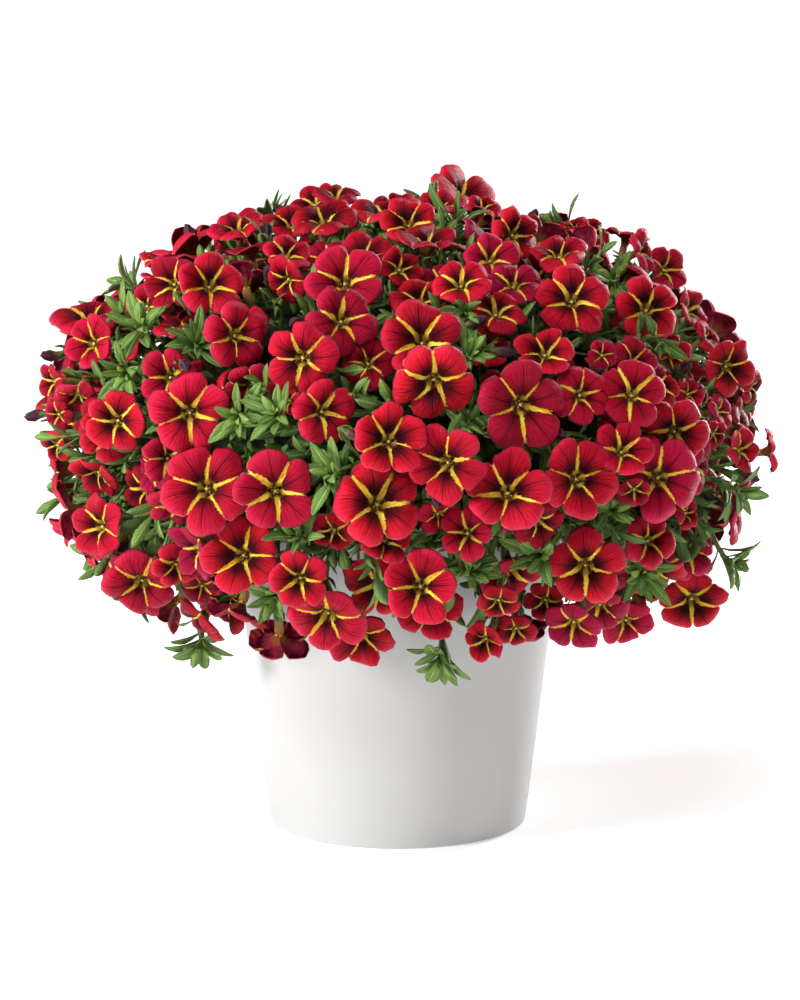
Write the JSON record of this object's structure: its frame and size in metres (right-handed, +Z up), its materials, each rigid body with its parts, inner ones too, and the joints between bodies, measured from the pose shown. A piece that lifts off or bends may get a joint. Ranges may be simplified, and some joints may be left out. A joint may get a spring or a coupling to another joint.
{
  "type": "potted calibrachoa",
  "caption": "A calibrachoa in full bloom: a dome of red trumpet flowers with yellow rays over leafy shoots, in a plain white tapered pot.",
  "frame": {"origin": "centre of the pot's flat base", "axes": "+Z up, the plant's front towards -Y, +X to its right as seen from the front"},
  "size_m": [0.2719, 0.2768, 0.2344],
  "materials": {
    "pot": "satin",
    "soil": "matte",
    "stems": "matte",
    "leaves": "matte",
    "petals": "matte"
  },
  "bodies": {
    "root": {"pot": "pot", "soil": "soil", "crown_stems": "stems", "foliage": "leaves", "flower_spray_01": "petals", "flower_spray_02": "petals", "flower_spray_03": "petals", "flower_spray_04": "petals", "flower_spray_05": "petals", "flower_spray_06": "petals", "flower_spray_07": "petals", "flower_spray_08": "petals", "flower_spray_09": "petals", "flower_spray_10": "petals", "flower_spray_11": "petals", "flower_spray_12": "petals", "flower_spray_13": "petals", "flower_spray_14": "petals", "flower_spray_15": "petals", "flower_spray_16": "petals", "flower_spray_17": "petals", "flower_spray_18": "petals", "flower_spray_19": "petals", "flower_spray_20": "petals", "flower_spray_21": "petals", "flower_spray_22": "petals", "flower_spray_23": "petals", "flower_spray_24": "petals", "flower_spray_25": "petals", "flower_spray_26": "petals", "flower_spray_27": "petals", "flower_spray_28": "petals", "flower_spray_29": "petals", "flower_spray_30": "petals", "flower_spray_31": "petals", "flower_spray_32": "petals", "flower_spray_33": "petals", "flower_spray_34": "petals", "flower_spray_35": "petals", "flower_spray_36": "petals", "flower_spray_37": "petals", "flower_spray_38": "petals", "flower_spray_39": "petals", "flower_spray_40": "petals", "flower_spray_41": "petals"}
  },
  "joints": []
}
